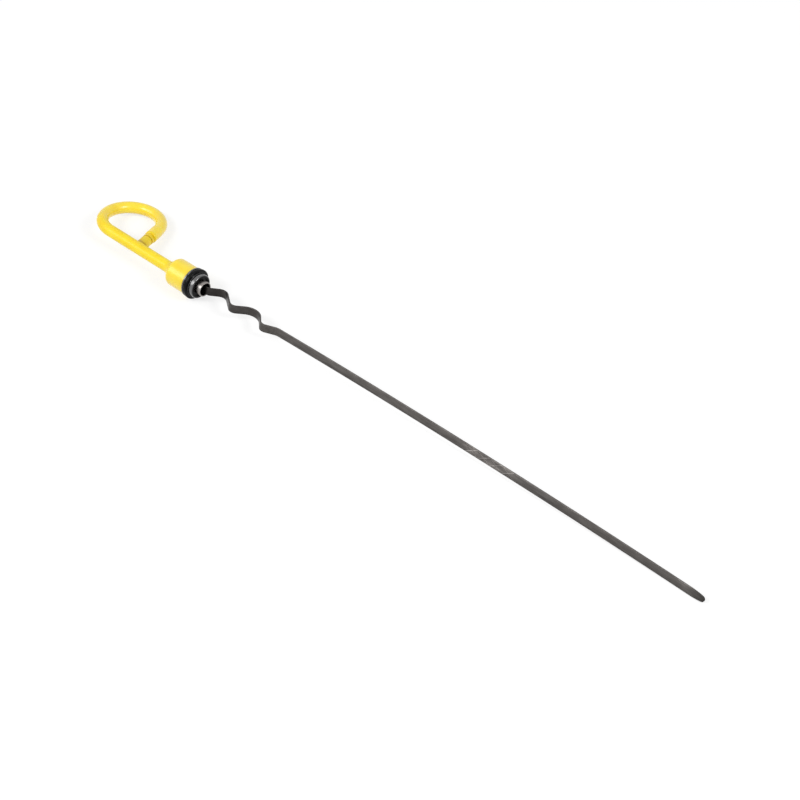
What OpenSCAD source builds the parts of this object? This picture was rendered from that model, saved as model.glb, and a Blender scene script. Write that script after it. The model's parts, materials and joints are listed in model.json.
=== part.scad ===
// Engine oil dipstick: a moulded P-loop handle with its cap, a rubber seal,
// a short steel tube and a waved spring steel blade.
// The parts are drawn with the blade's axis along X, the loop to +Y and the
// blade's width along Z, and the seal's seat on the guide tube at X = 0.
// The whole gauge then lies as it rests on a table: on the seal's flange,
// the edge of the loop and the tip of the blade.

/* [Handle] */
// Diameter of the round rod that the handle is made of
rod_d = 6.4; // [5:0.1:6.6]
// Radius of the finger loop, at the middle of the rod
loop_r = 15.5; // [12:0.5:20]
// Distance from the seat back to the middle of the finger loop
loop_x = 66; // [55:0.5:90]
// Angle between the loop's tail and the shank
tail_angle = 71; // [60:1:85]
// Diameter of the tail, a little thicker than the rod
tail_d = 6.8; // [6.7:0.1:8]
// How far the tail's thicker length laps over the bent rod
tail_lap = 0.5; // [0.2:0.1:1]
// Diameter of the thinner neck at the end of the tail
neck_d = 6.2; // [4.5:0.1:6.3]
// Distance along the tail from the shank's middle to the step of the neck
neck_len = 12.6; // [9:0.1:14]
// Rounding of the tail's end at the step
neck_round = 1; // [0.3:0.1:1.5]
// Width of the ring pressed into the neck
ring_w = 0.8; // [0.4:0.1:1.2]
// Depth of that ring
ring_depth = 0.3; // [0.1:0.05:0.4]
// Distance along the tail from the shank's middle to the middle of the ring
ring_at = 9.4; // [7:0.1:11]

/* [Cap] */
// Outer diameter of the cap
cap_d = 15.2; // [14:0.1:18]
// Length of the cap, from its open face to the back of its shoulder
cap_len = 13.7; // [12:0.1:20]
// Rounding of the cap's shoulder
shoulder_r = 2.6; // [1:0.1:3]
// Diameter of the collar where the shank runs into the shoulder
collar_d = 9.6; // [9:0.1:10]
// Length of the collar's taper down to the shank
collar_len = 4; // [1:0.1:6]
// Rounding of the edge at the open face
lip_round = 0.3; // [0.1:0.1:0.5]

/* [Seal] */
// Diameter of the flange that covers the guide tube's mouth
flange_d = 16.6; // [16:0.1:19]
// Thickness of the seal between the seat and the cap
flange_t = 3.4; // [2.6:0.1:5]
// Diameter of the thin rib next to the cap
rib_d = 16.2; // [15.5:0.1:19]
// Thickness of that rib
rib_t = 0.9; // [0.4:0.1:1]
// Rounding of the rib's edges
rib_round = 0.2; // [0.1:0.05:0.3]
// Diameter at the bottom of the groove between rib and flange
waist_d = 15; // [14.5:0.1:15.4]
// Width of that groove
waist_w = 0.6; // [0.2:0.1:0.8]
// Rounding of the flange's outer edges
flange_round = 0.5; // [0.1:0.05:0.5]
// Diameter of the plug that goes into the guide tube's mouth
plug_d = 13.2; // [12.6:0.1:15]
// Length of the plug, past the seat
plug_len = 3; // [2.5:0.1:5]
// Rounding of the plug's leading edge
plug_round = 0.9; // [0.3:0.1:1]
// Outer diameter of the recess around the tube, in the plug's face
recess_d = 10.2; // [9.6:0.1:10.6]
// Depth of that recess
recess_depth = 1; // [0.3:0.1:1.5]
// Diameter of the spigot that holds the seal in the cap
spigot_d = 11.2; // [10:0.1:12]
// Length of the spigot
spigot_len = 3.6; // [2:0.1:5]

/* [Tube] */
// Outer diameter of the steel tube
tube_d = 8; // [7:0.1:8.6]
// Wall of the steel tube
tube_wall = 0.6; // [0.4:0.05:0.8]
// How far the tube stands past the seat
tube_out = 6; // [5.5:0.1:12]
// How far the tube reaches into the cap, behind the seat
tube_in = 10.4; // [9:0.1:12]

/* [Blade] */
// Width of the blade
blade_w = 4.45; // [3:0.05:5]
// Thickness of the blade
blade_t = 0.8; // [0.6:0.05:1.4]
// Distance from the seat to the blade's tip
blade_reach = 325; // [250:1:450]
// How far the blade's root reaches into the cap, past the tube
root_len = 2.8; // [1:0.1:3]
// Length of the tapered tip
tip_len = 8.5; // [5:0.5:15]
// Width of the tip where its edges turn into the rounded nose
tip_w = 3.3; // [1.4:0.1:4]

/* [Wave] */
// Inner radius of the wide bends at the crests after the first
crest_inner = 7.4; // [2:0.1:8]
// Inner radius of the first crest, which is bent closer
first_inner = 4.2; // [2:0.1:5]
// Inner radius of the bend where the wave ends and the long blade starts
last_inner = 5.8; // [2:0.1:7]
// Inner radius of the tight bends at the troughs and at the start of the wave
trough_inner = 3.2; // [1:0.1:4]
// Number of whole waves
waves = 2; // [1:1:4]
// Length of strip that stays straight past the tube's end
straight_out = 0.9; // [0.5:0.1:3]
// Distance from the tube's end to the first crest
first_crest = 9.4; // [8.5:0.1:14]
// Distance from one crest to the next
wave_pitch = 22.2; // [20:0.1:30]
// Height of the wave, at the middle of the strip
wave_h = 6.3; // [3:0.1:7]
// How far the wave's middle lies beside the tube's axis
wave_off = 1.7; // [0:0.1:2.5]
// Distance from the last trough to the start of the long blade
run_out = 9; // [7:0.1:14]
// How far the long blade starts beside the tube's axis
blade_off = 1.9; // [0:0.1:3]

/* [Set of the long blade] */
// Angle at which the long blade leaves the wave
blade_lead = 1.5; // [0.5:0.1:2]
// Radius of the slight bow that the strip has taken
bow_r = 4000; // [3000:50:8000]

/* [Level marks] */
// Distance from the seat to the start of the level range
level_x = 181; // [120:1:220]
// Length of one cross of the hatched level range
cross_len = 7.6; // [5:0.1:10]
// Number of crosses
crosses = 4; // [2:1:6]
// Width of a rolled line
line_w = 0.4; // [0.2:0.05:0.6]
// Depth of a rolled line
line_depth = 0.12; // [0.05:0.01:0.2]

/* [Hidden] */
$fn = 96;

rod_r = rod_d / 2;
tail_r = tail_d / 2;
neck_r = neck_d / 2;
cap_r = cap_d / 2;
tube_r = tube_d / 2;
cap_front = -flange_t;
cap_back = cap_front - cap_len;
root_x = -tube_in - root_len;
blade_h = blade_w / 2;

// The two turns that lay the gauge down as it rests
rest_pitch = asin((flange_d - blade_w) / 2 / (blade_reach - tip_len));
rest_roll = asin((flange_d / 2 - rod_r + loop_x * sin(rest_pitch)) / (2 * loop_r));

// The centres of the wave's bends. The first turns the strip off the axis,
// the last turns it into the long blade, and crests and troughs lie between.
crest_x = tube_out + first_crest;
last_bend = 2 * waves + 1;
bend_centres = concat(
    [[tube_out + straight_out, bend_r(0)]],
    [for (i = [1:2 * waves])
        [crest_x + (i - 1) * wave_pitch / 2, wave_off - turn(i) * (wave_h / 2 - bend_r(i))]],
    [[crest_x + (waves - 0.5) * wave_pitch + run_out, blade_off - bend_r(last_bend)]]
);
headings = concat([0], [for (i = [0:last_bend - 1]) run_heading(i)], [blade_lead]);

// The bow is one more bend, of large radius, from the last heading to the tip
bow_start = bend_centres[last_bend] - bend_r(last_bend) * [sin(blade_lead), -cos(blade_lead)];
bow_centre = bow_start + bow_r * [sin(blade_lead), -cos(blade_lead)];
tip_heading = asin((bow_centre[0] - blade_reach) / bow_r);
bend_steps = 12;
bow_steps = 24;

// +1 on even bends, the troughs, which turn left, and -1 on odd ones, the crests
function turn(i) = i % 2 == 0 ? 1 : -1;

// Radius of bend i at the middle of the strip
function bend_r(i) = blade_t / 2
    + (i % 2 == 0 ? trough_inner : i == 1 ? first_inner : i == last_bend ? last_inner : crest_inner);

// Heading of the straight run that touches bend i and the next one
function run_heading(i) =
    let (d = bend_centres[i + 1] - bend_centres[i])
    atan2(d[1], d[0]) + turn(i) * asin(min(1, (bend_r(i) + bend_r(i + 1)) / norm(d)));

// Points along a bend, r to the right of its centre for a left turn
function bend_points(centre, r, from, to, steps) =
    [for (i = [0:steps])
        let (h = from + (to - from) * i / steps)
        centre + r * [sin(h), -cos(h)]];

// One face of the strip: side is +1 for the left one and -1 for the right
function face_points(side) = concat(
    [[root_x, side * blade_t / 2]],
    [for (i = [0:last_bend])
        each bend_points(bend_centres[i], turn(i) * bend_r(i) - side * blade_t / 2,
            headings[i], headings[i + 1], bend_steps)],
    bend_points(bow_centre, -bow_r - side * blade_t / 2, blade_lead, tip_heading, bow_steps)
);

function backwards(points) = [for (i = [len(points) - 1:-1:0]) points[i]];

// Middle of the long blade and its heading, at a distance from the seat
function bow_heading(x) = asin((bow_centre[0] - x) / bow_r);
function bow_y(x) = bow_centre[1] + bow_r * cos(bow_heading(x));

// The blade's edge narrows to the tip on an arc, and the nose is round
nose_drop = blade_h - tip_w / 2;
taper_len = tip_len - tip_w / 2;
nose_r = (taper_len * taper_len + nose_drop * nose_drop) / (2 * nose_drop);

// How far a cutting or limiting form runs past the one it works on
past = 1;
// How far such a form reaches to the sides of the whole blade
beside = blade_reach * blade_reach / (2 * bow_r) + wave_h + past;

// Lays the gauge down as it rests
module at_rest() {
    rotate([-rest_roll, rest_pitch, 0]) children();
}

// Turns a round profile, drawn with its radius along X and its length along Y,
// about the gauge's axis
module turned() {
    rotate([0, 90, 0]) rotate_extrude() children();
}

// A ring of the profile between two places along the axis
module band(inner, outer, from, to) {
    translate([inner, from]) square([outer - inner, to - from]);
}

// What a rounding takes off the profile's outer corner: side is +1 at the end
// nearer the blade's tip and -1 at the other
module corner(outer, end, size, side) {
    if (size > 0) difference() {
        translate([outer - size, side > 0 ? end - size : end - past]) square(size + past);
        translate([outer - size, end - side * size]) circle(size);
    }
}

// A ring with its two outer corners rounded
module soft_band(inner, outer, from, to, round_from, round_to) {
    difference() {
        band(inner, outer, from, to);
        corner(outer, from, round_from, -1);
        corner(outer, to, round_to, 1);
    }
}

// The tail's profile: the neck with its ring, and the thicker length
module tail_profile(reach) {
    difference() {
        band(0, neck_r, 0, neck_len + neck_round);
        band(neck_r - ring_depth, neck_r + past, ring_at - ring_w / 2, ring_at + ring_w / 2);
    }
    soft_band(0, tail_r, neck_len, reach + tail_lap, neck_round, 0);
}

// The finger loop: a round rod bent from the shank round to the tail
module finger_loop() {
    tail_reach = loop_r * (1 + cos(tail_angle)) / sin(tail_angle);
    tail_x = -loop_x + loop_r * sin(tail_angle) + tail_reach * cos(tail_angle);
    translate([-loop_x, loop_r, 0]) rotate([0, 0, -90])
        rotate_extrude(angle = -180 - tail_angle) translate([loop_r, 0]) circle(rod_r);
    translate([tail_x, 0, 0]) rotate([-90, 0, 90 - tail_angle])
        rotate_extrude() tail_profile(tail_reach);
}

// The cap's outer form with its shoulder and the collar to the shank
module cap_profile() {
    soft_band(0, cap_r, cap_back, cap_front, shoulder_r, lip_round);
    polygon([[0, cap_back - collar_len], [rod_r, cap_back - collar_len],
        [collar_d / 2, cap_back], [collar_d / 2, cap_back + shoulder_r], [0, cap_back + shoulder_r]]);
}

module handle() {
    color([0.98, 0.85, 0.2]) at_rest() difference() {
        union() {
            turned() cap_profile();
            translate([-loop_x, 0, 0]) rotate([0, 90, 0])
                cylinder(r = rod_r, h = loop_x + cap_back);
            finger_loop();
        }
        turned() band(0, spigot_d / 2, cap_front - spigot_len, cap_front + past);
        turned() band(0, tube_r, -tube_in, cap_front);
        translate([root_x, -blade_t / 2, -blade_h]) cube([root_len + past, blade_t, blade_w]);
    }
}

module seal() {
    color([0.1, 0.1, 0.11]) at_rest() turned() difference() {
        union() {
            band(tube_r, spigot_d / 2, cap_front - spigot_len, cap_front);
            soft_band(tube_r, rib_d / 2, cap_front, cap_front + rib_t, rib_round, rib_round);
            band(tube_r, waist_d / 2, cap_front + rib_t, cap_front + rib_t + waist_w);
            soft_band(tube_r, flange_d / 2, cap_front + rib_t + waist_w, 0,
                flange_round, flange_round);
            soft_band(tube_r, plug_d / 2, 0, plug_len, 0, plug_round);
        }
        band(0, recess_d / 2, plug_len - recess_depth, plug_len + past);
    }
}

module stem_tube() {
    color([0.72, 0.72, 0.72]) at_rest() turned()
        band(tube_r - tube_wall, tube_r, -tube_in, tube_out);
}

// The outline of the blade's broad face: parallel edges, narrowing to a round nose
module blade_outline() {
    nose_x = blade_reach - tip_w / 2;
    intersection() {
        translate([root_x - past, -blade_h]) square([nose_x - root_x + past, blade_w]);
        union() {
            translate([root_x - past, -blade_w])
                square([blade_reach - tip_len - root_x + past, 2 * blade_w]);
            intersection_for (side = [-1, 1])
                translate([blade_reach - tip_len, side * (nose_r - blade_h)])
                    circle(nose_r, $fn = 360);
        }
    }
    translate([nose_x, 0]) circle(tip_w / 2);
}

// One rolled line of a cross, running from edge to edge of the blade
module rolled_line(x, lean) {
    slope = atan2(blade_w, cross_len);
    translate([x, bow_y(x), 0]) rotate([0, 0, bow_heading(x)]) rotate([0, lean * slope, 0])
        for (side = [-1, 1]) translate([0, side * blade_t / 2, 0])
            cube([cross_len / cos(slope) + past, 2 * line_depth, line_w], center = true);
}

module blade() {
    color([0.33, 0.32, 0.31]) at_rest() difference() {
        intersection() {
            translate([0, 0, -blade_h]) linear_extrude(blade_w)
                polygon(concat(face_points(1), backwards(face_points(-1))));
            rotate([90, 0, 0]) linear_extrude(2 * beside, center = true) blade_outline();
        }
        for (i = [0:crosses - 1], lean = [-1, 1])
            rolled_line(level_x + (i + 0.5) * cross_len, lean);
    }
}

handle();
seal();
stem_tube();
blade();
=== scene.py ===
# %% [markdown]
# # An engine oil dipstick
# The gauge that is pulled out of an engine to read its oil level: a yellow
# moulded handle with a finger loop and a cap, a black rubber seal, a short steel
# tube, and a long strip of spring steel with a wave, a hatched level range and a
# round nose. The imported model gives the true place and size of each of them. In
# this lesson each piece is shaped again as by hand, with softened edges, and gets
# the finish of the real material.

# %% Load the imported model
import json
import math
import bmesh
import bpy
from mathutils import Euler, Matrix, Vector


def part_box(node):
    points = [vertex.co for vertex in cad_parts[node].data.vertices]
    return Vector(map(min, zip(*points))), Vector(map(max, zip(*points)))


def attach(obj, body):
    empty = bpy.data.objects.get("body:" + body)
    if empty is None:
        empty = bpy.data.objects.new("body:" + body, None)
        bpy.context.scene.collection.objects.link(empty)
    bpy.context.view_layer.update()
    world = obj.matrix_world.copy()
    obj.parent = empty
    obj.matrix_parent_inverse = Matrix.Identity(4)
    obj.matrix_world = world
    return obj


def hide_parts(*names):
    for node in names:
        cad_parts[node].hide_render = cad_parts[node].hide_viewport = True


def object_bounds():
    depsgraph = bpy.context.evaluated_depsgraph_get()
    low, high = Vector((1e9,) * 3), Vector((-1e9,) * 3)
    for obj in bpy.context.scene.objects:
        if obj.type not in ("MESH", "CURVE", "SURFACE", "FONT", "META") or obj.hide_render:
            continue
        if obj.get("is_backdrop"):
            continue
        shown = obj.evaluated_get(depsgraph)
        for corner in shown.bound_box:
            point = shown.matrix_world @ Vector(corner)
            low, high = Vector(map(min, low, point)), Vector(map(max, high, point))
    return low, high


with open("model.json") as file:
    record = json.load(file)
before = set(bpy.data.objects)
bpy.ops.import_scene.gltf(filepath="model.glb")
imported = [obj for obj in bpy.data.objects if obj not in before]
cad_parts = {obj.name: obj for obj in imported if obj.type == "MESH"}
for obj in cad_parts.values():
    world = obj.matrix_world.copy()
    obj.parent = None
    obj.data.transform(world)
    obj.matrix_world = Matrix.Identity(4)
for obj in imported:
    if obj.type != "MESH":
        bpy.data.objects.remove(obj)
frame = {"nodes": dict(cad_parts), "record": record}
cad_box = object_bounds()
MM = 0.001
for name in frame["nodes"]:
    low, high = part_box(name)
    print(name, "from", [round(v / MM, 1) for v in low], "to", [round(v / MM, 1) for v in high])

# %% [markdown]
# ## How the gauge lies
# The pieces are easiest to shape with the stem straight along X, the loop to +Y
# and the strip's width along Z. The real thing then lies on a table, on the rim
# of its seal, the side of its loop and the edge of its tip, which turns it by two
# small angles. So each piece is shaped straight and then turned by these two.

# %% The turn from the straight drawing to the table
REST_ROLL = 11.8518
REST_PITCH = 1.0998
lying = Euler((math.radians(-REST_ROLL), math.radians(REST_PITCH), 0)).to_matrix().to_4x4()
seat = next(m for m in frame["record"]["mounts"] if m["name"] == "seat")
stem_axis = lying @ Vector((1, 0, 0))
print("stem axis", [round(v, 5) for v in stem_axis], "record says", seat["axis"])

# %% [markdown]
# ## Shaping by hand
# Every piece is made with the tools of edit mode: something small is added, and
# then extruded, spun, rounded and cut. Operators act on what is selected, so each
# step first picks points, edges or faces by where they are.


# %% Picking by place
def pick(test, kind="VERT"):
    """Selects the points, edges or faces whose middle passes a test, and nothing else."""
    mesh = bmesh.from_edit_mesh(bpy.context.object.data)
    bpy.ops.mesh.select_mode(type=kind)
    bpy.ops.mesh.select_all(action="DESELECT")
    count = 0
    for item in {"VERT": mesh.verts, "EDGE": mesh.edges, "FACE": mesh.faces}[kind]:
        corners = [item] if kind == "VERT" else item.verts
        middle = sum((v.co for v in corners), Vector()) / len(corners)
        if test(middle / MM):
            item.select_set(True)
            count += 1
    mesh.select_flush_mode()
    bmesh.update_edit_mesh(bpy.context.object.data)
    return count


def only(piece):
    """Leaves only this piece selected, and makes it active."""
    bpy.ops.object.select_all(action="DESELECT")
    piece.select_set(True)
    bpy.context.view_layer.objects.active = piece


# %% [markdown]
# ## Turned sections
# The seal, the tube and the handle's cap are round about the stem. They could be
# stacked from cylinders, but then each joint would need welding. Instead half of
# their section is drawn as a line of points, as a turner would on paper. Its
# corners are rounded one by one, and then the line is spun once about the axis, as
# on a lathe, which gives one skin without joints.


# %% Drawing a section
def move(x=0, y=0, z=0):
    """The move that an extrusion ends with, in mm."""
    return {"value": (x * MM, y * MM, z * MM)}


def draw_section(name, corners):
    """Draws a line of points (distance along the stem, radius) in mm, from one vertex."""
    bpy.ops.object.select_all(action="DESELECT")
    bpy.ops.mesh.primitive_plane_add(size=MM)
    bpy.context.object.name = name
    bpy.ops.object.mode_set(mode="EDIT")
    bpy.ops.mesh.select_mode(type="VERT")
    bpy.ops.mesh.select_all(action="SELECT")
    bpy.ops.mesh.merge(type="CENTER")
    bpy.ops.transform.translate(**move(corners[0][0], 0, corners[0][1]))
    for (x0, r0), (x1, r1) in zip(corners, corners[1:]):
        step = move(x1 - x0, 0, r1 - r0)
        bpy.ops.mesh.extrude_vertices_move(TRANSFORM_OT_translate=step)
    return bpy.context.object


# %% Rounding its corners and turning it
SAME_PLACE = 0.01  # mm
WELD = 0.002  # mm


def round_corners(corners, segments=5):
    """Rounds corners of the section, each given as (distance, radius, rounding) in mm."""
    for x, radius, size in corners:
        pick(lambda p: abs(p.x - x) < SAME_PLACE and abs(p.z - radius) < SAME_PLACE)
        bpy.ops.mesh.bevel(affect="VERTICES", offset=size * MM, segments=segments, clamp_overlap=True)


def turn_section(steps=96):
    """Spins the section once about the stem's axis, as on a lathe, and closes the seam."""
    bpy.ops.mesh.select_all(action="SELECT")
    bpy.ops.mesh.spin(steps=steps, angle=math.tau, center=(0, 0, 0), axis=(1, 0, 0))
    bpy.ops.mesh.select_all(action="SELECT")
    bpy.ops.mesh.remove_doubles(threshold=WELD * MM)
    bpy.ops.mesh.normals_make_consistent(inside=False)


# %% [markdown]
# ## The seal
# A moulded ring of black rubber plugs the top of the guide tube. It has a thin rib
# against the yellow cap, a narrow waist, a thick flange that stops on the tube, and
# a plug with a dished end. A mould leaves every outer corner a little round, and a
# turned section lets each corner have a rounding of its own.

# %% The seal's sizes
# Places along the stem are in mm from the face that seats on the guide tube.
SPIGOT_END, CAP_FRONT, RIB_FRONT, FLANGE_BACK = -7.0, -3.4, -2.5, -1.9
SEAT, RECESS_FLOOR, PLUG_END = 0.0, 2.0, 3.0
TUBE_R, RECESS_R, SPIGOT_R, PLUG_R = 4.0, 5.1, 5.6, 6.6
WAIST_R, RIB_R, FLANGE_R = 7.5, 8.1, 8.3
print("seal", PLUG_END - SPIGOT_END, "mm long and", 2 * FLANGE_R, "mm across")

# %% The seal's section, turned
seal = draw_section("seal_rubber", (
    (SPIGOT_END, TUBE_R), (SPIGOT_END, SPIGOT_R), (CAP_FRONT, SPIGOT_R), (CAP_FRONT, RIB_R),
    (RIB_FRONT, RIB_R), (RIB_FRONT, WAIST_R), (FLANGE_BACK, WAIST_R), (FLANGE_BACK, FLANGE_R),
    (SEAT, FLANGE_R), (SEAT, PLUG_R), (PLUG_END, PLUG_R), (PLUG_END, RECESS_R),
    (RECESS_FLOOR, RECESS_R), (RECESS_FLOOR, TUBE_R), (SPIGOT_END, TUBE_R)))
round_corners((
    (CAP_FRONT, RIB_R, 0.25), (RIB_FRONT, RIB_R, 0.25), (RIB_FRONT, WAIST_R, 0.12),
    (FLANGE_BACK, WAIST_R, 0.12), (FLANGE_BACK, FLANGE_R, 0.5), (SEAT, FLANGE_R, 0.5),
    (SEAT, PLUG_R, 0.3), (PLUG_END, PLUG_R, 0.9), (PLUG_END, RECESS_R, 0.3),
    (RECESS_FLOOR, RECESS_R, 0.25)))
turn_section()
print(seal.name, "turned")


# %% Laying a finished piece down
def lay_down(piece, angle=35):
    """Ends the shaping: smooth shading, normals that keep flats flat, the turn to the table."""
    if bpy.context.object.mode == "EDIT":
        bpy.ops.object.mode_set(mode="OBJECT")
    only(piece)
    bpy.ops.object.shade_smooth_by_angle(angle=math.radians(angle))
    flats = piece.modifiers.new("flats", "WEIGHTED_NORMAL")
    flats.keep_sharp = True
    bpy.ops.object.modifier_apply(modifier=flats.name)
    piece.matrix_world = lying
    bpy.ops.object.transform_apply(location=True, rotation=True, scale=True)
    shape = bmesh.new()
    shape.from_mesh(piece.data)
    open_edges = sum(not e.is_manifold for e in shape.edges)
    volume = round(shape.calc_volume() / MM ** 3, 1)
    print(piece.name, len(shape.faces), "faces,", open_edges, "open edges,", volume, "mm3")
    shape.free()


lay_down(seal)

# %% [markdown]
# ## The stem tube
# A short steel tube comes out of the seal and holds the strip straight where it
# enters the guide tube. It was cut from drawn tube and its lip was broken with a
# file. A cylinder with a hole would have sharp lips, so it is turned as well, from
# a thin rectangle with small rounded ends.

# %% The tube's section, turned
TUBE_IN, TUBE_OUT, BORE_R = -10.4, 6.0, 3.4
LIP_ROUND = 0.18
tube = draw_section("stem_tube_steel", (
    (TUBE_IN, BORE_R), (TUBE_IN, TUBE_R), (TUBE_OUT, TUBE_R), (TUBE_OUT, BORE_R),
    (TUBE_IN, BORE_R)))
round_corners(((TUBE_OUT, TUBE_R, LIP_ROUND), (TUBE_OUT, BORE_R, LIP_ROUND)), segments=4)
turn_section()
lay_down(tube)

# %% [markdown]
# ## The handle
# Cap, collar, rod and loop are one moulding. A thick curve could make the loop, but
# not the cap on its end. So the cap, its collar and the straight shank, which are
# round about the stem, start as a turned section that is left open at the far end,
# and the loop grows from there.

# %% Cap, collar and shank
CAP_R, CAP_BACK, COLLAR_R, COLLAR_END = 7.6, -17.1, 4.8, -21.1
LOOP_X, LOOP_R, ROD_R, SHANK_MID = -66.0, 15.5, 3.2, -40.0
handle = draw_section("handle_moulding", (
    (TUBE_IN, 0), (TUBE_IN, TUBE_R), (SPIGOT_END, TUBE_R), (SPIGOT_END, SPIGOT_R),
    (CAP_FRONT, SPIGOT_R), (CAP_FRONT, CAP_R), (CAP_BACK, CAP_R), (CAP_BACK, COLLAR_R),
    (COLLAR_END, ROD_R), (SHANK_MID, ROD_R), (LOOP_X, ROD_R)))
round_corners((
    (CAP_FRONT, CAP_R, 0.3), (CAP_BACK, CAP_R, 2.6), (CAP_BACK, COLLAR_R, 0.35),
    (COLLAR_END, ROD_R, 1.2)), segments=8)
turn_section()
print("open ring of the shank at", LOOP_X, "mm")

# %% [markdown]
# The open ring is then spun round the loop's centre, as if the rod was bent there,
# and swells to the thicker tail on the way back. The tail leans to the shank, so
# its length and its foot on the stem's axis come from the loop and the lean.

# %% Where the tail goes
TAIL_ANGLE, TAIL_R, THICK_END = 71.0, 3.4, 12.6
lean = math.radians(TAIL_ANGLE)
tail_reach = LOOP_R * (1 + math.cos(lean)) / math.sin(lean)
foot = Vector((LOOP_X + LOOP_R * math.sin(lean) + tail_reach * math.cos(lean), 0, 0))
to_loop = Vector((-math.cos(lean), math.sin(lean), 0))
print("tail is", round(tail_reach, 2), "mm long and meets the axis at", round(foot.x, 2))


# %% Bending and pushing a ring
def bend(degrees, centre, steps):
    """Spins the selected ring about an upright axis, to the left for a positive angle."""
    axle = (centre[0] * MM, centre[1] * MM, 0)
    bpy.ops.mesh.spin(steps=steps, angle=-math.radians(degrees), center=axle, axis=(0, 0, 1))


def push(step, size=(1, 1, 1)):
    """Extrudes the selected ring by a step in mm, and resizes it about its own middle."""
    bpy.ops.mesh.extrude_edges_move(TRANSFORM_OT_translate=move(*step))
    if tuple(size) != (1, 1, 1):
        bpy.ops.transform.resize(value=size)


# %% The loop
SWELLS, SWELL_STEP = 4, 0.4
pick(lambda p: abs(p.x - LOOP_X) < SAME_PLACE, "EDGE")
bend(-180 - TAIL_ANGLE, (LOOP_X, LOOP_R), steps=72)
for _ in range(SWELLS):
    push(-SWELL_STEP * to_loop, ((TAIL_R / ROD_R) ** (1 / SWELLS),) * 3)
print("rod swells from", 2 * ROD_R, "to", 2 * TAIL_R, "mm")

# %% The tail
END_ROUND, ROUND_STEPS = 1.0, 6
straight = tail_reach - SWELLS * SWELL_STEP - THICK_END - END_ROUND
push(-straight * to_loop)
for i in range(ROUND_STEPS):
    a0, a1 = (math.radians(90 / ROUND_STEPS * k) for k in (i, i + 1))
    r0, r1 = (TAIL_R - END_ROUND + END_ROUND * math.cos(a) for a in (a0, a1))
    push(-END_ROUND * (math.sin(a1) - math.sin(a0)) * to_loop, (r1 / r0,) * 3)
bpy.ops.mesh.edge_face_add()
bpy.ops.mesh.select_all(action="SELECT")
bpy.ops.mesh.normals_make_consistent(inside=False)
bpy.ops.object.mode_set(mode="OBJECT")
print("tail's thick end is", THICK_END, "mm from the stem's axis")

# %% [markdown]
# The tail doesn't end on the shank itself. It holds on to it by a slightly thinner
# neck with a narrow groove round it, and a deeper undercut where the thick part
# starts. Extruding it from the tail would leave a torn edge on the round shank. So
# the neck is turned as a piece of its own and joined to the moulding, and the line
# where it meets the shank stays crisp.

# %% The neck
# Places are in mm from the stem's axis, along the tail.
GROOVE_FROM, GROOVE_TO, NECK_END, STUB_END = 9.0, 9.8, 11.8, 15.0
NECK_R, GROOVE_R, STUB_R = 3.1, 2.75, 2.2
neck = draw_section("neck", (
    (0, 0), (0, NECK_R), (GROOVE_FROM, NECK_R), (GROOVE_FROM, GROOVE_R),
    (GROOVE_TO, GROOVE_R), (GROOVE_TO, NECK_R), (NECK_END, NECK_R), (NECK_END, STUB_R),
    (STUB_END, STUB_R), (STUB_END, 0)))
round_corners((
    (GROOVE_FROM, NECK_R, 0.15), (GROOVE_FROM, GROOVE_R, 0.12), (GROOVE_TO, GROOVE_R, 0.12),
    (GROOVE_TO, NECK_R, 0.15), (NECK_END, NECK_R, 0.2)), segments=3)
turn_section(steps=64)
bpy.ops.object.mode_set(mode="OBJECT")
along_tail = to_loop.to_track_quat("X", "Z").to_matrix().to_4x4()
neck.matrix_world = Matrix.Translation(foot * MM) @ along_tail
only(neck)
bpy.ops.object.transform_apply(location=True, rotation=True, scale=True)
print("neck runs from the axis to", NECK_END, "mm")


# %% Joining and cutting
def apply_boolean(piece, tool, operation):
    """Joins a tool to a piece or cuts with it, and removes the tool."""
    only(piece)
    modifier = piece.modifiers.new("boolean", "BOOLEAN")
    modifier.operation = operation
    modifier.object = tool
    modifier.solver = "EXACT"
    bpy.ops.object.modifier_apply(modifier=modifier.name)
    bpy.data.objects.remove(tool)


# %% The neck joined, and a slot for the strip's root
ROOT_X, BLADE_W, BLADE_T, SLOT_LEN = -13.2, 4.45, 0.8, 4.0
apply_boolean(handle, neck, "UNION")
bpy.ops.object.select_all(action="DESELECT")
slot_middle = ((ROOT_X + SLOT_LEN / 2) * MM, 0, 0)
bpy.ops.mesh.primitive_cube_add(size=MM, location=slot_middle, scale=(SLOT_LEN, BLADE_T, BLADE_W))
apply_boolean(handle, bpy.context.object, "DIFFERENCE")
lay_down(handle)

# %% [markdown]
# ## The strip
# The strip was slit from a coil of spring steel and run between pegs that put two
# waves in it, which grip the inside of the guide tube. Its section is a rectangle
# with slightly broken edges. A curve with a flat profile could follow the wave, but
# it couldn't narrow to the nose. So the strip takes the same way as the real one:
# the section is pushed straight, bent about each peg, and pushed on, and it ends in
# one long, very slight bow and a nose that was ground round.

# %% The section
BROKEN_EDGE = 0.14  # mm
bpy.ops.object.select_all(action="DESELECT")
bpy.ops.mesh.primitive_plane_add(size=MM, rotation=(0, math.pi / 2, 0), location=(ROOT_X * MM, 0, 0))
blade = bpy.context.object
blade.name = "blade_strip"
bpy.ops.object.transform_apply(location=True, rotation=True, scale=True)
bpy.ops.object.mode_set(mode="EDIT")
bpy.ops.mesh.select_mode(type="VERT")
bpy.ops.mesh.select_all(action="SELECT")
bpy.ops.transform.resize(value=(1, BLADE_T, BLADE_W))
bpy.ops.mesh.bevel(affect="VERTICES", offset=BROKEN_EDGE * MM, segments=3)
bpy.ops.mesh.delete(type="ONLY_FACE")
bpy.ops.mesh.select_all(action="SELECT")
print("section", BLADE_T, "by", BLADE_W, "mm")

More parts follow.
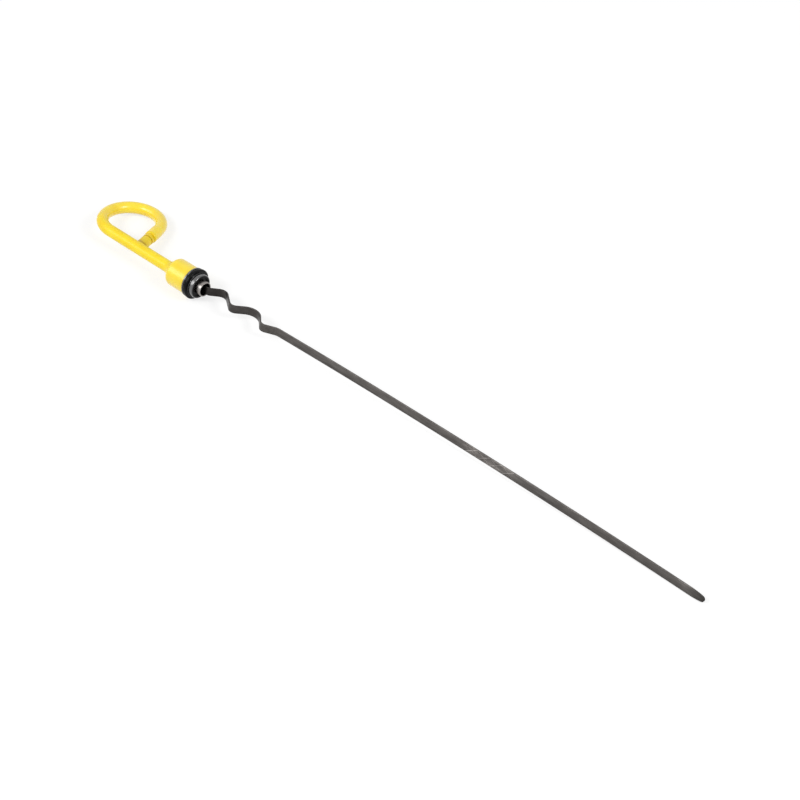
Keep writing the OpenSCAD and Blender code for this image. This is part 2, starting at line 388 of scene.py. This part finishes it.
# %% The pegs that it is bent about
# Each peg is its place along and across, and the bend's radius, in mm. The strip
# turns left about the even pegs and right about the odd ones.
PEGS = (
    (6.9, 3.6, 3.6), (15.4, 0.25, 4.6), (26.5, 2.15, 3.6),
    (37.6, -2.95, 7.8), (48.7, 2.15, 3.6), (57.7, -4.3, 6.2))
LEAD, BOW_R, REACH = 1.5, 4000.0, 325.0


def heading_between(i):
    """The heading in degrees of the straight run from one peg to the next."""
    (x0, y0, r0), (x1, y1, r1) = PEGS[i], PEGS[i + 1]
    left = 1 if i % 2 == 0 else -1
    apart = math.hypot(x1 - x0, y1 - y0)
    crossing = math.asin(min(1, (r0 + r1) / apart))
    return math.degrees(math.atan2(y1 - y0, x1 - x0) + left * crossing)


headings = [0] + [heading_between(i) for i in range(len(PEGS) - 1)] + [LEAD]
print("headings", [round(h, 1) for h in headings])

# %% The waves
SHORTEST_RUN = 0.01  # mm
push((PEGS[0][0] - ROOT_X, 0, 0))
for i, (x, y, radius) in enumerate(PEGS):
    bend(headings[i + 1] - headings[i], (x, y), steps=14)
    if i + 1 < len(PEGS):
        x1, y1, r1 = PEGS[i + 1]
        run = math.sqrt(max(0, (x1 - x) ** 2 + (y1 - y) ** 2 - (radius + r1) ** 2))
        h = math.radians(headings[i + 1])
        if run > SHORTEST_RUN:
            push((run * math.cos(h), run * math.sin(h), 0))
print(len(PEGS), "bends made")

# %% The bow
TIP_LEN = 8.5
lead = math.radians(LEAD)
to_right = Vector((math.sin(lead), -math.cos(lead), 0))
last_x, last_y, last_r = PEGS[-1]
bow_start = Vector((last_x, last_y, 0)) - last_r * to_right
bow_centre = bow_start + BOW_R * to_right


def bow_heading(x):
    """The strip's heading on its bow, in radians, at a distance from the seat in mm."""
    return math.asin((bow_centre.x - x) / BOW_R)


taper_x = REACH - TIP_LEN
bend(math.degrees(bow_heading(taper_x)) - LEAD, bow_centre, steps=24)
print("bow runs from", round(bow_start.x, 2), "to", taper_x, "mm")

# %% The nose's outline
# Its edges narrow on a wide arc and end in a round of the tip's width. BLUNT keeps
# the last ring from shrinking to a line.
TIP_W, BLUNT = 3.3, 0.02
nose_at = TIP_LEN - TIP_W / 2
edge_r = (nose_at ** 2 + (BLADE_W / 2 - TIP_W / 2) ** 2) / (BLADE_W - TIP_W)


def half_width(d):
    """Half the strip's width at a distance into the nose, in mm."""
    side = math.sqrt(edge_r ** 2 - min(d, nose_at) ** 2) - (edge_r - BLADE_W / 2)
    into_round = max(0, d - nose_at) / (TIP_W / 2)
    return side * math.sqrt(max(BLUNT, 1 - into_round ** 2))


print("nose is", [round(2 * half_width(d), 2) for d in (0, nose_at, TIP_LEN)], "mm wide")

# %% The nose, pushed ring by ring
TAPER_RINGS = (1, 2.2, 3.4, 4.6, 5.8)
ROUND_ANGLES = (15, 30, 42, 53, 63, 72, 80, 86)
round_rings = [nose_at + TIP_W / 2 * math.sin(math.radians(a)) for a in ROUND_ANGLES]
along = Vector((math.cos(bow_heading(REACH)), math.sin(bow_heading(REACH)), 0))
last = 0
for d in [*TAPER_RINGS, nose_at, *round_rings]:
    push((d - last) * along, (1, 1, half_width(d) / half_width(last)))
    last = d
bpy.ops.mesh.edge_face_add()
pick(lambda p: abs(p.x - ROOT_X) < SAME_PLACE, "EDGE")
bpy.ops.mesh.edge_face_add()
bpy.ops.mesh.select_all(action="SELECT")
bpy.ops.mesh.normals_make_consistent(inside=False)
print("nose begins at", taper_x, "mm and ends at", REACH)

# %% [markdown]
# ## The level marks
# The range between the low and the full mark is crossed by diagonal lines, rolled
# shallowly into both broad faces, so that the oil film shows on them. Bump in the
# finish could draw them, but it wouldn't be in the mesh. So each line is cut out of
# the face with two parallel planes, and the thin faces between the planes are
# pushed in.

# %% Where the lines run
LEVEL_X, CROSS_LEN, CROSSES, LINE_W, LINE_DEPTH = 181.0, 7.6, 4, 0.4, 0.12
level_end = LEVEL_X + CROSSES * CROSS_LEN
lines = []
for i in range(CROSSES):
    x = LEVEL_X + (i + 0.5) * CROSS_LEN
    h = bow_heading(x)
    middle = Vector((x, bow_centre.y + BOW_R * math.cos(h), 0))
    for sign in (-1, 1):
        across = Vector((-BLADE_W * math.cos(h), -BLADE_W * math.sin(h), sign * CROSS_LEN))
        lines.append((middle, across.normalized()))
print(len(lines), "lines from", LEVEL_X, "to", level_end, "mm")


# %% Cutting the lines
# A face of the bow is about 11 mm long before it is cut. One that reaches into the
# level range can have its middle outside, so the first spare is a whole face.
FACE_SPARE, LINE_SPARE, NARROW_SIDE = 12, 0.3, 0.1  # mm


def broad(p, spare):
    """True on the two broad faces of the strip, up to a distance from the level range."""
    on_face = abs(p.z) < BLADE_W / 2 - NARROW_SIDE
    return on_face and LEVEL_X - spare < p.x < level_end + spare


for middle, across in lines:
    for offset in (-LINE_W / 2, LINE_W / 2):
        pick(lambda p: broad(p, FACE_SPARE), "FACE")
        bpy.ops.mesh.bisect(plane_co=(middle + across * offset) * MM, plane_no=across)
print("cut with", 2 * len(lines), "planes")

# %% Pushing them in
CLEAR = 0.02  # mm


def in_line(p):
    """True between the two planes of any line."""
    return any(abs((p - middle).dot(across)) < LINE_W / 2 - CLEAR for middle, across in lines)


found = pick(lambda p: broad(p, LINE_SPARE) and in_line(p), "FACE")
sink = {"value": -LINE_DEPTH * MM}
bpy.ops.mesh.extrude_region_shrink_fatten(TRANSFORM_OT_shrink_fatten=sink)
for face in bmesh.from_edit_mesh(blade.data).faces:
    face.material_index = 1 if face.select else 0
print(found, "faces pushed in")
lay_down(blade, angle=30)

# %% [markdown]
# ## Camera, light and table
# A product photo on white: the camera looks down at about 42 degrees from 1.2 m
# away through a short telephoto lens. Two soft boxes stand left of the camera and
# one stands right of it, and a white room fills the shadows. Lamps alone would
# leave the steel black, because metal shows what stands around it. The table is
# white too, and keeps the soft shadow under the gauge.

# %% Camera
# The eye is a place in metres, and the other two are directions.
EYE = Vector((0.727653, -0.610204, 0.765233))
LOOK = Vector((-0.51511, 0.5363, -0.66862)).normalized()
UP = Vector((-0.44097, 0.5031, 0.74326))
LENS, SENSOR = 106.64, 36  # mm
camera = bpy.data.objects.new("camera", bpy.data.cameras.new("camera"))
bpy.context.collection.objects.link(camera)
side = LOOK.cross(UP).normalized()
turn = Matrix((side, side.cross(LOOK), -LOOK)).transposed().to_4x4()
camera.matrix_world = Matrix.Translation(EYE) @ turn
camera.data.sensor_width = SENSOR
camera.data.lens = LENS
camera.data.clip_start = 0.05
bpy.context.scene.camera = camera
bpy.context.scene.view_settings.view_transform = "Standard"
print("camera", [round(v, 3) for v in camera.matrix_world.translation])


# %% Colours
def linear(hex_colour):
    """The linear colour of an sRGB hex value, as shaders take it."""
    parts = [int(hex_colour[i:i + 2], 16) / 255 for i in (1, 3, 5)]
    return [c / 12.92 if c <= 0.04045 else ((c + 0.055) / 1.055) ** 2.4 for c in parts] + [1]


# %% Nodes
def add_node(tree, kind, settings=None, links=None, stops=()):
    """Adds a node with its settings and links, and a ramp's stops (place, colour or grey)."""
    node = tree.nodes.new(kind)
    for key, value in (settings or {}).items():
        if isinstance(key, int) or key in node.inputs:
            node.inputs[key].default_value = value
        else:
            setattr(node, key, value)
    for key, source in (links or {}).items():
        tree.links.new(source, node.inputs[key])
    for i, (place, colour) in enumerate(stops):
        stop = node.color_ramp.elements[i] if i < 2 else node.color_ramp.elements.new(place)
        stop.position = place
        stop.color = linear(colour) if isinstance(colour, str) else (colour, colour, colour, 1)
    return node


def new_material(name):
    """An empty material, and its tree of nodes."""
    material = bpy.data.materials.new(name)
    material.use_nodes = True
    material.node_tree.nodes.clear()
    return material, material.node_tree


# %% [markdown]
# The table has to look white without throwing more light on the gauge than a real
# white card does. So what the camera or a shiny surface sees of it is brighter
# than what lights the gauge. The same trick makes the room behind it pure white.


# %% What is seen directly
def seen_directly(tree):
    """1 for what the camera, a mirror or a glass sees, 0 for light that lights the gauge."""
    ray = add_node(tree, "ShaderNodeLightPath")
    pair = add_node(tree, "ShaderNodeMath", {"operation": "ADD", "use_clamp": True},
                    {0: ray.outputs["Is Camera Ray"], 1: ray.outputs["Is Glossy Ray"]})
    three = add_node(tree, "ShaderNodeMath", {"operation": "ADD", "use_clamp": True},
                     {0: pair.outputs[0], 1: ray.outputs["Is Transmission Ray"]})
    return three.outputs[0]


# %% The table
TABLE_SIZE, TABLE_X = 6, 0.1  # m
floor_z = cad_box[0][2]
bpy.ops.object.select_all(action="DESELECT")
bpy.ops.mesh.primitive_plane_add(size=TABLE_SIZE, location=(TABLE_X, 0, floor_z))
table = bpy.context.object
table.name = "table"
table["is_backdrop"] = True
card, tree = new_material("matt_white_card")
white = add_node(tree, "ShaderNodeBsdfDiffuse", {"Color": linear("#EDEDED")})
grey = add_node(tree, "ShaderNodeBsdfDiffuse", {"Color": linear("#9C9C9C")})
glow = add_node(tree, "ShaderNodeEmission", {"Color": linear("#FFFFFF"), "Strength": 0.7})
seen = add_node(tree, "ShaderNodeAddShader", links={0: grey.outputs[0], 1: glow.outputs[0]})
both = add_node(tree, "ShaderNodeMixShader",
                links={0: seen_directly(tree), 1: white.outputs[0], 2: seen.outputs[0]})
add_node(tree, "ShaderNodeOutputMaterial", links={"Surface": both.outputs[0]})
table.data.materials.append(card)
print("table at", round(floor_z / MM, 2), "mm")

# %% The white room
ROOM_LIGHT = 0.42
world = bpy.data.worlds.new("white_room")
world.use_nodes = True
tree = world.node_tree
tree.nodes.clear()
level = add_node(tree, "ShaderNodeMapRange", {"To Min": ROOM_LIGHT, "To Max": 1.0},
                 {"Value": seen_directly(tree)})
room = add_node(tree, "ShaderNodeBackground", {"Color": linear("#FFFFFF")},
                {"Strength": level.outputs[0]})
add_node(tree, "ShaderNodeOutputWorld", links={"Surface": room.outputs[0]})
bpy.context.scene.world = world
print("room light", ROOM_LIGHT)

# %% The soft boxes
AIM = Vector((0.02, 0, 0))


def soft_box(name, azimuth, elevation, radiance, size, distance=1.6):
    """A square lamp that faces the gauge's thick end from a direction in degrees."""
    a, e = math.radians(azimuth), math.radians(elevation)
    where = Vector((math.cos(e) * math.cos(a), math.cos(e) * math.sin(a), math.sin(e)))
    lamp = bpy.data.objects.new(name, bpy.data.lights.new(name, "AREA"))
    lamp.data.size = size
    lamp.data.energy = radiance * math.pi * size * size
    lamp.location = where * distance + AIM
    lamp.rotation_euler = where.to_track_quat("Z", "Y").to_euler()
    bpy.context.collection.objects.link(lamp)
    print(name, [round(v, 2) for v in lamp.location])


soft_box("left_soft_box", azimuth=-136, elevation=36, radiance=2.8, size=1.0, distance=2.0)
soft_box("middle_soft_box", azimuth=-106, elevation=48, radiance=12, size=0.48)
soft_box("right_soft_box", azimuth=9, elevation=37, radiance=12, size=0.54)

# %% [markdown]
# ## Finishes
# Patterns that follow the making, such as the grain of a drawn tube, run along the
# stem. A painted map could show them too, but a pattern in space needs no unwrapping
# and has no seam. Object coordinates are those of the table, so a Mapping node turns
# them back by the two lying angles, and X runs along the stem again.


# %% Coordinates along the stem
def stem_coordinates(tree):
    """Object coordinates in metres with X along the stem and Z across the strip."""
    place = add_node(tree, "ShaderNodeTexCoord")
    back = {"vector_type": "TEXTURE", "Rotation": lying.to_euler()}
    turned = add_node(tree, "ShaderNodeMapping", back, {"Vector": place.outputs["Object"]})
    return turned.outputs[0]


def per_mm(*sizes):
    """The texture scale at which one feature is this many mm, one number or one for each axis."""
    scales = [1 / (size * MM) for size in sizes]
    return scales if len(scales) > 1 else scales[0]


def dress(piece, material, node):
    """Gives a piece its finish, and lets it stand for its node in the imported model."""
    piece.data.materials.append(material)
    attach(piece, "root")
    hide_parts(node)
    print(piece.name, "wears", [m.name for m in piece.data.materials])


# %% [markdown]
# ## Yellow moulded nylon
# Dipstick handles are moulded in a strong signal yellow, so that they are found
# among black hoses. Nylon from a polished mould is glossy with a slight orange
# peel, and the melt leaves faint streaks where it flowed. Shade is painted darker
# into the yellow where the neck meets the shank and in the neck's groove. One plain
# yellow would look like paint, so noise that is drawn out along the stem varies it,
# and the painted shade is placed by distance.

# %% Moulded nylon: its yellow
FLOW_LEN, FLOW_WIDTH = 9, 5  # mm
nylon, tree = new_material("moulded_yellow_nylon")
stem = stem_coordinates(tree)
drawn_out = add_node(tree, "ShaderNodeMapping",
                     {"Scale": per_mm(FLOW_LEN, FLOW_WIDTH, FLOW_WIDTH)}, {"Vector": stem})
flow = add_node(tree, "ShaderNodeTexNoise", {"Scale": 1.0, "Detail": 3.0},
                {"Vector": drawn_out.outputs[0]})
tint = add_node(tree, "ShaderNodeValToRGB", links={"Fac": flow.outputs[0]},
                stops=((0.3, "#F2D221"), (0.7, "#F9DF33")))
print("flow marks", FLOW_LEN, "mm long")

# %% Moulded nylon: how near the neck is
# Up to the first distance from the neck's middle there is painted shade, and from
# the second on there is none.
NECK_MIDDLE = 7.5  # mm from the stem's axis, along the tail
SHADE_FULL_R, SHADE_GONE_R = 6.2, 8.0  # mm
neck_middle = foot + to_loop * NECK_MIDDLE
from_neck = add_node(tree, "ShaderNodeVectorMath",
                     {"operation": "DISTANCE", 1: neck_middle * MM}, {0: stem})
near = add_node(tree, "ShaderNodeMapRange",
                {"From Min": SHADE_FULL_R * MM, "From Max": SHADE_GONE_R * MM, "To Min": 1.0, "To Max": 0.0},
                {"Value": from_neck.outputs["Value"]})
print("dirt round", [round(v, 1) for v in neck_middle])

# %% Moulded nylon: painted shade where the neck leaves the shank
# On the neck the distance from the stem's axis grows from the shank's surface.
CLIMB = 5  # mm
flat = add_node(tree, "ShaderNodeMapping", {"Scale": (0, 1, 1)}, {"Vector": stem})
off_axis = add_node(tree, "ShaderNodeVectorMath", {"operation": "LENGTH"}, {0: flat.outputs[0]})
climb = add_node(tree, "ShaderNodeMapRange",
                 {"From Min": ROD_R * MM, "From Max": (ROD_R + CLIMB) * MM},
                 {"Value": off_axis.outputs["Value"]})
crease = add_node(tree, "ShaderNodeValToRGB", links={"Fac": climb.outputs[0]},
                  stops=((0.005, 0.0), (0.04, 1.0), (0.14, 0.8), (0.3, 0.3), (0.9, 0.12)))
print("crease fades over", CLIMB, "mm")

# %% Moulded nylon: painted shade in the groove
HALF_BAND = 0.6  # mm
up_tail = add_node(tree, "ShaderNodeVectorMath", {"operation": "DOT_PRODUCT", 1: to_loop},
                   {0: stem})
groove_at = foot.dot(to_loop) + (GROOVE_FROM + GROOVE_TO) / 2
band = {"From Min": (groove_at - HALF_BAND) * MM, "From Max": (groove_at + HALF_BAND) * MM}
in_band = add_node(tree, "ShaderNodeMapRange", band, {"Value": up_tail.outputs["Value"]})
groove = add_node(tree, "ShaderNodeValToRGB", links={"Fac": in_band.outputs[0]},
                  stops=((0.0, 0.0), (0.2, 0.75), (0.8, 0.75), (1.0, 0.0)))
worst = add_node(tree, "ShaderNodeMath", {"operation": "MAXIMUM"},
                 {0: crease.outputs[0], 1: groove.outputs[0]})
painted_shade = add_node(tree, "ShaderNodeMath", {"operation": "MULTIPLY"},
                {0: near.outputs[0], 1: worst.outputs[0]})
# The painted shade darkens the yellow towards a dark olive.
yellow = add_node(tree, "ShaderNodeMix", {"data_type": "RGBA", 7: linear("#A98505")},
                  {0: painted_shade.outputs[0], 6: tint.outputs[0]})
print("groove", round(groove_at, 1), "mm up the tail's direction")

# %% Moulded nylon: its gloss
# The gloss changes over a few mm. Orange peel is about 1 mm across and about a
# thousandth of a mm deep, which is the depth here times the bump's strength. The
# loop and the cap are polished by hands, and the shank and the neck are duller.
GLOSS_MM, PEEL_MM, PEEL_DEPTH = 3, 1.1, 0.02
DULL_R, POLISHED_R = 3.5, 6.5  # mm from the stem's axis
gloss = add_node(tree, "ShaderNodeTexNoise", {"Scale": per_mm(GLOSS_MM), "Detail": 2.0},
                 {"Vector": stem})
rough = add_node(tree, "ShaderNodeMapRange", {"To Min": 0.22, "To Max": 0.36},
                 {"Value": gloss.outputs[0]})
peel = add_node(tree, "ShaderNodeTexNoise", {"Scale": per_mm(PEEL_MM), "Detail": 1.0},
                {"Vector": stem})
bumps = add_node(tree, "ShaderNodeBump", {"Strength": 0.06, "Distance": PEEL_DEPTH * MM},
                 {"Height": peel.outputs[0]})
polish = add_node(tree, "ShaderNodeMapRange",
                  {"From Min": DULL_R * MM, "From Max": POLISHED_R * MM, "To Max": 0.8},
                  {"Value": off_axis.outputs["Value"]})
clean = add_node(tree, "ShaderNodeMath", {"operation": "SUBTRACT", "use_clamp": True},
                 {0: polish.outputs[0], 1: near.outputs[0]})
print("orange peel", PEEL_MM, "mm across")

# %% Moulded nylon: put together
skin = add_node(tree, "ShaderNodeBsdfPrincipled",
                {"IOR": 1.53, "Specular IOR Level": 0.25, "Coat Roughness": 0.26,
                 "Subsurface Weight": 0.06, "Subsurface Scale": 1.0 * MM},
                {"Base Color": yellow.outputs[2], "Roughness": rough.outputs[0],
                 "Normal": bumps.outputs[0], "Coat Weight": clean.outputs[0]})
add_node(tree, "ShaderNodeOutputMaterial", links={"Surface": skin.outputs[0]})
dress(handle, nylon, "handle")

# %% [markdown]
# ## Black nitrile rubber
# The seal is moulded nitrile rubber, filled with carbon black. It is wet with
# release oil, so it is nearly black with a clear sheen, and fine dust dulls it
# in spots. One even gloss would look like plastic, so the sheen is a coat that
# lies only where the oil stands.

# %% Moulded rubber: black and dusty
DUST_MM, GRAIN_MM, GRAIN_DEPTH = 1.4, 0.35, 0.015
rubber, tree = new_material("moulded_nitrile_rubber")
stem = stem_coordinates(tree)
dust = add_node(tree, "ShaderNodeTexNoise",
                {"Scale": per_mm(DUST_MM), "Detail": 5.0, "Roughness": 0.65}, {"Vector": stem})
black = add_node(tree, "ShaderNodeValToRGB", links={"Fac": dust.outputs[0]},
                 stops=((0.45, "#050506"), (0.75, "#151416")))
rough = add_node(tree, "ShaderNodeMapRange",
                 {"From Min": 0.3, "From Max": 0.75, "To Min": 0.12, "To Max": 0.32},
                 {"Value": dust.outputs[0]})
grain = add_node(tree, "ShaderNodeTexNoise", {"Scale": per_mm(GRAIN_MM), "Detail": 2.0},
                 {"Vector": stem})
bumps = add_node(tree, "ShaderNodeBump", {"Strength": 0.12, "Distance": GRAIN_DEPTH * MM},
                 {"Height": grain.outputs[0]})
print("dust spots", DUST_MM, "mm across")

# %% Moulded rubber: where it is wet
# Oil stands on the side of the plug and on the rib next to the cap. The stops are
# shares of the way from the cap to the plug's end: the rib ends at 0.14, and the
# plug begins at 0.53.
DRY_R, WET_R = 6.0, 6.5  # mm from the stem's axis
flat = add_node(tree, "ShaderNodeMapping", {"Scale": (0, 1, 1)}, {"Vector": stem})
off_axis = add_node(tree, "ShaderNodeVectorMath", {"operation": "LENGTH"}, {0: flat.outputs[0]})
outside = add_node(tree, "ShaderNodeMapRange",
                   {"From Min": DRY_R * MM, "From Max": WET_R * MM},
                   {"Value": off_axis.outputs["Value"]})
parts = add_node(tree, "ShaderNodeSeparateXYZ", links={"Vector": stem})
share = add_node(tree, "ShaderNodeMapRange",
                 {"From Min": CAP_FRONT * MM, "From Max": PLUG_END * MM},
                 {"Value": parts.outputs["X"]})
wet = add_node(tree, "ShaderNodeValToRGB", links={"Fac": share.outputs[0]},
               stops=((0.0, 0.8), (0.14, 0.8), (0.18, 0.0), (0.54, 0.0), (0.57, 1.0)))
film = add_node(tree, "ShaderNodeMath", {"operation": "MULTIPLY"},
                {0: outside.outputs[0], 1: wet.outputs[0]})
print("wet on the rib, up to", RIB_FRONT, "mm, and on the plug, from", SEAT, "mm")

# %% Moulded rubber: put together
skin = add_node(tree, "ShaderNodeBsdfPrincipled",
                {"IOR": 1.52, "Specular IOR Level": 0.1, "Coat Roughness": 0.18, "Coat IOR": 2.2},
                {"Base Color": black.outputs[0], "Roughness": rough.outputs[0],
                 "Normal": bumps.outputs[0], "Coat Weight": film.outputs[0]})
add_node(tree, "ShaderNodeOutputMaterial", links={"Surface": skin.outputs[0]})
dress(seal, rubber, "seal")

# %% [markdown]
# ## Bright drawn steel
# The tube is cold-drawn steel, left bright. The die scores fine lines along it. A
# faint tan haze is oil that has dried, and the colour is darker inside the bore. The
# lines are noise that is stretched along the stem, because a regular stripe would
# look machined.

# %% Drawn steel: its colour
HAZE_LEN, HAZE_WIDTH = 5, 2.5  # mm
DARK_TO, BRIGHT_FROM = BORE_R + 0.02, BORE_R + 0.2
drawn, tree = new_material("bright_drawn_steel")
stem = stem_coordinates(tree)
drawn_out = add_node(tree, "ShaderNodeMapping",
                     {"Scale": per_mm(HAZE_LEN, HAZE_WIDTH, HAZE_WIDTH)}, {"Vector": stem})
haze = add_node(tree, "ShaderNodeTexNoise", {"Scale": 1.0, "Detail": 3.0},
                {"Vector": drawn_out.outputs[0]})
steel = add_node(tree, "ShaderNodeValToRGB", links={"Fac": haze.outputs[0]},
                 stops=((0.3, "#8D8783"), (0.7, "#A8A5A2")))
flat = add_node(tree, "ShaderNodeMapping", {"Scale": (0, 1, 1)}, {"Vector": stem})
radius = add_node(tree, "ShaderNodeVectorMath", {"operation": "LENGTH"}, {0: flat.outputs[0]})
# Inside the bore the colour is darkened to a fifth.
wall = {"From Min": DARK_TO * MM, "From Max": BRIGHT_FROM * MM, "To Min": 0.2}
bore = add_node(tree, "ShaderNodeMapRange", wall, {"Value": radius.outputs["Value"]})
bore_darkened = add_node(tree, "ShaderNodeVectorMath", {"operation": "SCALE"},
                 {0: steel.outputs[0], "Scale": bore.outputs[0]})
print("bore darkened inside a radius of", DARK_TO, "mm")

# %% Drawn steel: its grain
# The drawing lines are finer than this on the real tube, about 0.05 mm.
LINE_LEN, LINE_WIDTH, LINE_RELIEF = 14, 0.35, 0.01
scored = add_node(tree, "ShaderNodeMapping",
                  {"Scale": per_mm(LINE_LEN, LINE_WIDTH, LINE_WIDTH)}, {"Vector": stem})
die_lines = add_node(tree, "ShaderNodeTexNoise", {"Scale": 1.0, "Detail": 2.0},
                     {"Vector": scored.outputs[0]})
rough = add_node(tree, "ShaderNodeMapRange", {"To Min": 0.18, "To Max": 0.4},
                 {"Value": die_lines.outputs[0]})
bumps = add_node(tree, "ShaderNodeBump", {"Strength": 0.4, "Distance": LINE_RELIEF * MM},
                 {"Height": die_lines.outputs[0]})
skin = add_node(tree, "ShaderNodeBsdfPrincipled", {"Metallic": 1.0},
                {"Base Color": bore_darkened.outputs[0], "Roughness": rough.outputs[0],
                 "Normal": bumps.outputs[0]})
add_node(tree, "ShaderNodeOutputMaterial", links={"Surface": skin.outputs[0]})
dress(tube, drawn, "stem_tube")

# %% [markdown]
# ## Dark spring steel
# The strip is hardened and tempered in oil, which leaves a thin grey-black oxide.
# The rolls leave a long grain. Its colour is darker towards the lower edge, darkest
# over the first wave, lighter just behind the nose and darker again towards the
# nose's end. Rolling the marks rubbed the oxide thin between the lines. In the
# lines themselves it is broken, so they are lighter. All of this is one shade that
# multiplies the steel's colour, so the grain stays the same under it.

# %% How dark the strip is along its length
# Places are shares of the strip's reach, from the seat to the tip.
ALONG = (
    (0.0, 0.24), (0.037, 0.28), (0.062, 0.46), (0.11, 0.54), (0.18, 0.76), (0.25, 0.87),
    (0.68, 0.87), (0.8, 0.76), (0.94, 0.75), (0.967, 0.97), (0.98, 0.66), (0.993, 0.5), (1.0, 0.3))
print("nose keeps", ALONG[-1][1], "of its colour")

# %% What rolling the marks rubbed thin
# The patches fade out between these distances from the middle of the level range.
PATCHED_TO, PATCHES_END = 14, 18  # mm
level_middle = (LEVEL_X + level_end) / 2
print("patches round", level_middle, "mm")


def rolled_patches(tree, along, clouds):
    """1 outside the level range, and the lighter patches that rolling left inside it."""
    centred = add_node(tree, "ShaderNodeMath", {"operation": "SUBTRACT", 1: level_middle * MM},
                       {0: along})
    away = add_node(tree, "ShaderNodeMath", {"operation": "ABSOLUTE"}, {0: centred.outputs[0]})
    fade = {"From Min": PATCHED_TO * MM, "From Max": PATCHES_END * MM,
            "To Min": 1.0, "To Max": 0.0}
    rolled = add_node(tree, "ShaderNodeMapRange", fade, {"Value": away.outputs[0]})
    patches = add_node(tree, "ShaderNodeMapRange",
                       {"From Min": 0.4, "From Max": 0.65, "To Min": 1.1, "To Max": 1.9},
                       {"Value": clouds})
    return add_node(tree, "ShaderNodeMix", {"data_type": "FLOAT", 2: 1.0},
                    {0: rolled.outputs[0], 3: patches.outputs[0]}).outputs[0]


# %% The shade of the strip
def strip_shade(tree, stem, clouds):
    """How much of the steel's colour is left at each place, from 0 to about 2."""
    parts = add_node(tree, "ShaderNodeSeparateXYZ", links={"Vector": stem})
    share = add_node(tree, "ShaderNodeMapRange", {"From Min": 0.0, "From Max": REACH * MM},
                     {"Value": parts.outputs["X"]})
    tone_along = add_node(tree, "ShaderNodeValToRGB", links={"Fac": share.outputs[0]}, stops=ALONG)
    # The colour is darker towards the strip's lower edge.
    edges = {"From Min": -BLADE_W / 2 * MM, "From Max": BLADE_W / 2 * MM,
             "To Min": 0.78, "To Max": 1.14}
    across = add_node(tree, "ShaderNodeMapRange", edges, {"Value": parts.outputs["Z"]})
    rubbed = rolled_patches(tree, parts.outputs["X"], clouds)
    plain_strip = add_node(tree, "ShaderNodeMath", {"operation": "MULTIPLY"},
                           {0: across.outputs[0], 1: tone_along.outputs[0]})
    return add_node(tree, "ShaderNodeMath", {"operation": "MULTIPLY"},
                    {0: plain_strip.outputs[0], 1: rubbed}).outputs[0]


# %% Tempered steel
# The real rolling grain is about 0.1 mm wide, and is drawn coarser here to show.
ROLL_LEN, ROLL_WIDTH, ROLL_RELIEF = 16, 0.5, 0.01
CLOUD_LEN, CLOUD_WIDTH = 8, 3


def tempered_steel(name, dark, light, rough_from, rough_to):
    """Spring steel with its oxide, between two colours and two roughnesses."""
    material, tree = new_material(name)
    stem = stem_coordinates(tree)
    rolled_out = add_node(tree, "ShaderNodeMapping",
                          {"Scale": per_mm(ROLL_LEN, ROLL_WIDTH, ROLL_WIDTH)}, {"Vector": stem})
    grain = add_node(tree, "ShaderNodeTexNoise", {"Scale": 1.0, "Detail": 4.0},
                     {"Vector": rolled_out.outputs[0]})
    spread = add_node(tree, "ShaderNodeMapping",
                      {"Scale": per_mm(CLOUD_LEN, CLOUD_WIDTH, CLOUD_WIDTH)}, {"Vector": stem})
    clouds = add_node(tree, "ShaderNodeTexNoise",
                      {"Scale": 1.0, "Detail": 3.0, "Roughness": 0.6},
                      {"Vector": spread.outputs[0]})
    both = add_node(tree, "ShaderNodeMath", {"operation": "ADD"},
                    {0: grain.outputs[0], 1: clouds.outputs[0]})
    oxide = add_node(tree, "ShaderNodeMapRange", {"From Min": 0.65, "From Max": 1.35},
                     {"Value": both.outputs[0]})
    colour = add_node(tree, "ShaderNodeValToRGB", links={"Fac": oxide.outputs[0]},
                      stops=((0.0, dark), (1.0, light)))
    shade = strip_shade(tree, stem, clouds.outputs[0])
    shaded = add_node(tree, "ShaderNodeVectorMath", {"operation": "SCALE"},
                      {0: colour.outputs[0], "Scale": shade})
    rough = add_node(tree, "ShaderNodeMapRange", {"To Min": rough_from, "To Max": rough_to},
                     {"Value": clouds.outputs[0]})
    bumps = add_node(tree, "ShaderNodeBump", {"Strength": 0.5, "Distance": ROLL_RELIEF * MM},
                     {"Height": grain.outputs[0]})
    skin = add_node(tree, "ShaderNodeBsdfPrincipled", {"Metallic": 1.0},
                    {"Base Color": shaded.outputs[0], "Roughness": rough.outputs[0],
                     "Normal": bumps.outputs[0]})
    add_node(tree, "ShaderNodeOutputMaterial", links={"Surface": skin.outputs[0]})
    return material


# %% The strip and its marks
strip_steel = tempered_steel("oil_tempered_spring_steel", dark="#524E4C", light="#75716E",
                             rough_from=0.3, rough_to=0.5)
mark_steel = tempered_steel("rolled_bright_marks", dark="#837E7B", light="#AAA6A3",
                            rough_from=0.3, rough_to=0.45)
blade.data.materials.append(strip_steel)
dress(blade, mark_steel, "blade")

# %% Both boxes, and the end
visual_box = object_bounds()
boxes = {"cad_box": cad_box, "visual_box": visual_box}
plain = {name: [[float(v) for v in corner] for corner in box] for name, box in boxes.items()}
for name, box in plain.items():
    print(name, [round((high - low) / MM, 1) for low, high in zip(*box)], "mm")
